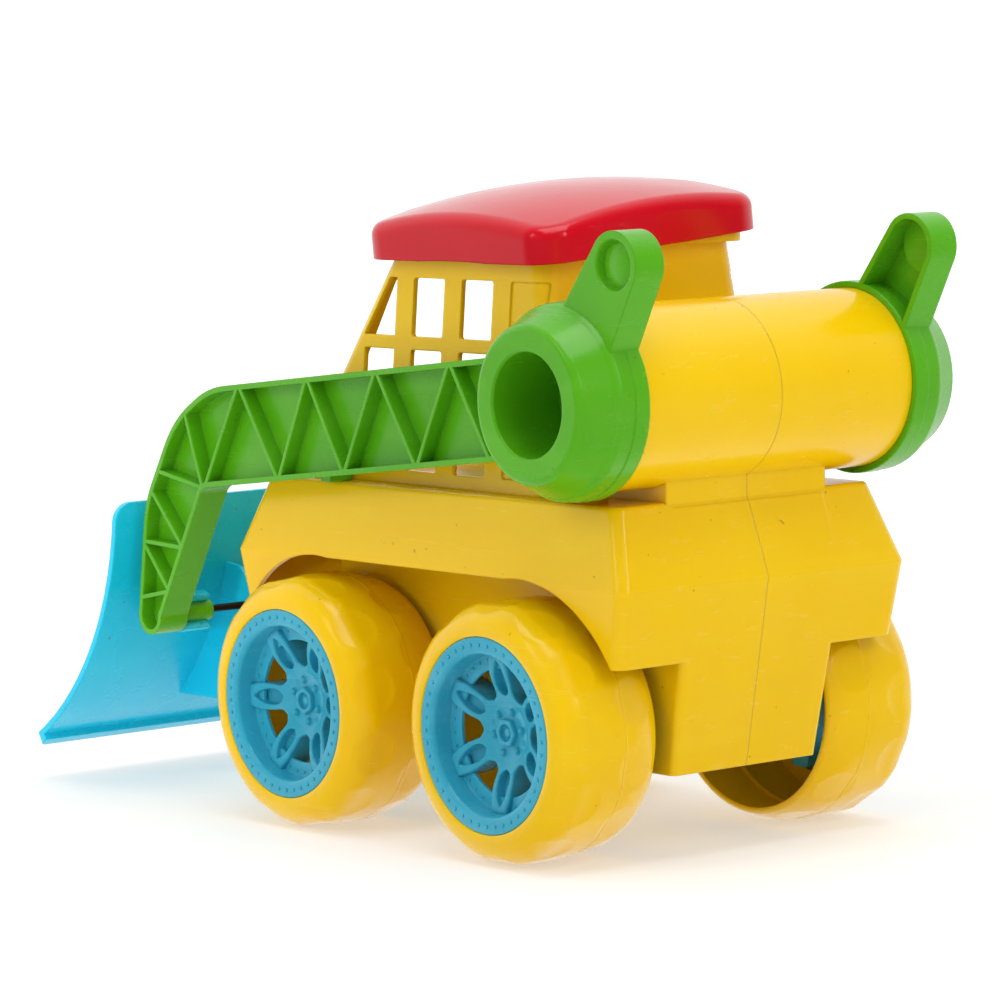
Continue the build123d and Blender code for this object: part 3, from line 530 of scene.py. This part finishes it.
# the studio is brightest on the loader's front right side, where the backdrop hangs
toward = combine(sky, "SUBTRACT", combine(sky, "MULTIPLY", heading.outputs["X"], 0.776),
                 combine(sky, "MULTIPLY", heading.outputs["Y"], 0.631))
room = ramp(sky, toward, -0.15, 0.35, 0.42, 1.0)
# the room behind the camera is dark, which keeps the plastic's colours deep where it mirrors that side
mirrored = ramp(sky, toward, -0.10, 0.40, 0.12, 1.0)
change = combine(sky, "MULTIPLY", combine(sky, "SUBTRACT", mirrored, room), ray.outputs["Is Glossy Ray"])
lit = combine(sky, "ADD", room, change)
seen = combine(sky, "MAXIMUM", lit, combine(sky, "MULTIPLY", ray.outputs["Is Camera Ray"], 1.1))
sky.links.new(seen, background.inputs["Strength"])


def area_light(name, place, target, size, power, glossy=True):
    data = bpy.data.lights.new(name, "AREA")
    data.shape = "RECTANGLE"
    data.size, data.size_y = size
    data.energy = power
    lamp = bpy.data.objects.new(name, data)
    lamp.location = place
    lamp.rotation_euler = (Vector(target) - Vector(place)).to_track_quat("-Z", "Y").to_euler()
    lamp.visible_glossy = glossy
    bpy.context.scene.collection.objects.link(lamp)
    return lamp


AIM = Vector((-0.0134, 0.0, 0.1242))
CAMERA_DISTANCE = 1.877
LENS = 170.1828
FILL_TARGET = Vector((0.165, 0.06, 0.06))
AZIMUTH, ELEVATION, ROLL = math.radians(230.86), math.radians(5.73), math.radians(-1.31)
flat = math.cos(ELEVATION)
away = Vector((math.sin(AZIMUTH) * flat, -math.cos(AZIMUTH) * flat, math.sin(ELEVATION)))
right = Vector((math.cos(AZIMUTH), math.sin(AZIMUTH), 0))
up = away.cross(right)
camera_right = right * math.cos(ROLL) + up * math.sin(ROLL)
camera_up = up * math.cos(ROLL) - right * math.sin(ROLL)

level = Vector((away.x, away.y, 0)).normalized()
area_light("overhead", AIM + Vector((-0.35, 0.15, 1.5)), AIM, (1.3, 1.0), 11)
area_light("rear_key", AIM + Vector((-1.5, 0.1, 0.75)), AIM, (0.9, 0.8), 4.3, glossy=False)
area_light("side_key", AIM + Vector((-0.1, 1.5, 0.8)), AIM, (1.0, 0.8), 4.6, glossy=False)
area_light("strip_left", AIM + level * 0.7 - right * 1.2 + Vector((0, 0, 0.9)), AIM, (0.10, 0.5), 1.1)
area_light("strip_right", AIM + level * 1.0 + right * 0.9 + Vector((0, 0, 0.8)), AIM, (0.10, 0.5), 1.0)

# a narrow fill for the back of the bucket, which the body shades from the other lamps
fill_data = bpy.data.lights.new("bucket_fill", "SPOT")
fill_data.energy = 24.0
fill_data.spot_size = math.radians(13)
fill_data.spot_blend = 0.9
fill_data.shadow_soft_size = 0.08
fill = bpy.data.objects.new("bucket_fill", fill_data)
bpy.context.scene.collection.objects.link(fill)
fill.location = AIM + level * 1.3 - right * 0.7 + Vector((0, 0, 0.05))
fill.rotation_euler = (FILL_TARGET - fill.location).to_track_quat("-Z", "Y").to_euler()
fill.visible_glossy = False

camera_data = bpy.data.cameras.new("camera")
camera_data.sensor_width = 36.0
camera_data.lens = LENS
camera_data.clip_start, camera_data.clip_end = 0.05, 120
camera = bpy.data.objects.new("camera", camera_data)
camera.matrix_world = Matrix((
    (camera_right.x, camera_up.x, away.x, AIM.x + away.x * CAMERA_DISTANCE),
    (camera_right.y, camera_up.y, away.y, AIM.y + away.y * CAMERA_DISTANCE),
    (camera_right.z, camera_up.z, away.z, AIM.z + away.z * CAMERA_DISTANCE),
    (0, 0, 0, 1)))
bpy.context.scene.collection.objects.link(camera)
bpy.context.scene.camera = camera
bpy.context.scene.view_settings.view_transform = "Standard"
bpy.context.scene.view_settings.look = "None"

bpy.context.view_layer.update()
